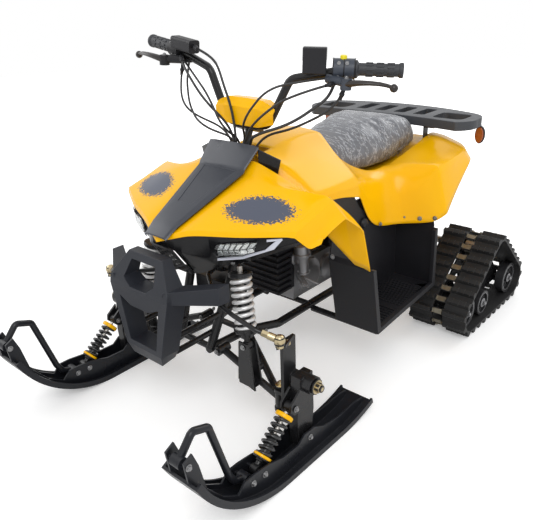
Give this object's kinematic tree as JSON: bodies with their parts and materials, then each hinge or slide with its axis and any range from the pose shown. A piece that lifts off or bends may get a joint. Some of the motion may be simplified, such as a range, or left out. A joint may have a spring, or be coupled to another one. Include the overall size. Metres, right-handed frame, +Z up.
{
  "type": "tracked snow quad",
  "caption": "Youth snow quad with steered front skis, triangular rubber tracks at the rear, moulded yellow bodywork, a rear rack and raised handlebars.",
  "frame": {"origin": "on the ground under the middle of the overall length, on the centre line", "axes": "-Y is the front, +X the left-hand side of the vehicle, +Z up"},
  "size_m": [0.909, 1.652, 0.9948],
  "materials": {
    "yellow_plastic": "gloss moulded plastic",
    "hood_grey": "satin moulded plastic",
    "black_plastic": "fine textured moulding",
    "control_grey": "satin moulding",
    "frame_black": "gloss powder coat",
    "ski_black": "moulded polyethylene",
    "track_rubber": "matt",
    "grip_rubber": "matt",
    "shock_silver": "bright spring",
    "shock_black": "gloss",
    "steel": "satin",
    "alloy": "cast",
    "wheel_grey": "moulded nylon with a rubber tread",
    "seat_cover": "vinyl under a clear film",
    "lens": "clear",
    "amber": "reflector",
    "cable": "smooth sheath"
  },
  "bodies": {
    "vehicle": {"a_arm_left": "frame_black", "a_arm_right": "frame_black", "engine_block": "alloy", "footwell_left": "black_plastic", "footwell_right": "black_plastic", "front_bumper": "black_plastic", "front_fender": "yellow_plastic", "front_shock_left": "shock_silver", "front_shock_right": "shock_silver", "grille": "black_plastic", "headlight_panel": "black_plastic", "headlights": "lens", "hood_panel": "hood_grey", "main_frame": "frame_black", "muffler": "steel", "rack_stays": "frame_black", "rear_axle": "steel", "rear_fender": "yellow_plastic", "rear_rack": "control_grey", "rear_shock": "shock_silver", "seat": "seat_cover", "swing_arm": "frame_black", "tail_lights": "amber", "tank_cover": "yellow_plastic", "track_frame_left": "frame_black", "track_frame_right": "frame_black", "track_left": "track_rubber", "track_right": "track_rubber", "track_wheels_left": "wheel_grey", "track_wheels_right": "wheel_grey"},
    "steering": {"steering_column": "frame_black", "handlebar": "frame_black", "bar_pad": "yellow_plastic", "grip_left": "grip_rubber", "grip_right": "grip_rubber", "switch_pod": "control_grey", "throttle_housing": "black_plastic", "brake_lever_left": "control_grey", "brake_lever_right": "control_grey", "control_box": "black_plastic", "brake_cable_left": "cable", "brake_cable_right": "cable", "throttle_cable": "cable", "wiring_left": "cable"},
    "ski_left": {"knuckle_left": "frame_black", "ski_post_left": "frame_black", "ski_left": "ski_black", "ski_handle_left": "ski_black", "ski_shock_left": "shock_black"},
    "ski_right": {"knuckle_right": "frame_black", "ski_post_right": "frame_black", "ski_right": "ski_black", "ski_handle_right": "ski_black", "ski_shock_right": "shock_black"},
    "tie_rod_left": {"tie_rod_left": "frame_black"},
    "tie_rod_right": {"tie_rod_right": "frame_black"}
  },
  "joints": [
    {"name": "steering", "type": "hinge", "parent": "vehicle", "child": "steering", "pos_m": [0, -0.324, 0.395], "axis": [0, 0.3746, 0.9272], "range_deg": [-36, 36]},
    {"name": "kingpin_left", "type": "hinge", "parent": "vehicle", "child": "ski_left", "pos_m": [0.3, -0.425, 0.14], "axis": [0, 0, 1], "range_deg": [-21.6, 21.6]},
    {"name": "rod_end_left", "type": "hinge", "parent": "ski_left", "child": "tie_rod_left", "pos_m": [0.334, -0.463, 0.344], "axis": [0, 0, -1], "range_deg": [-21.6, 21.6]},
    {"name": "kingpin_right", "type": "hinge", "parent": "vehicle", "child": "ski_right", "pos_m": [-0.3, -0.425, 0.14], "axis": [0, 0, 1], "range_deg": [-21.6, 21.6]},
    {"name": "rod_end_right", "type": "hinge", "parent": "ski_right", "child": "tie_rod_right", "pos_m": [-0.334, -0.463, 0.344], "axis": [0, 0, -1], "range_deg": [-21.6, 21.6]}
  ],
  "couplings": [
    {"joint": "kingpin_left", "follows": "steering", "ratio": 0.6},
    {"joint": "rod_end_left", "follows": "steering", "ratio": 0.6},
    {"joint": "kingpin_right", "follows": "steering", "ratio": 0.6},
    {"joint": "rod_end_right", "follows": "steering", "ratio": 0.6}
  ]
}
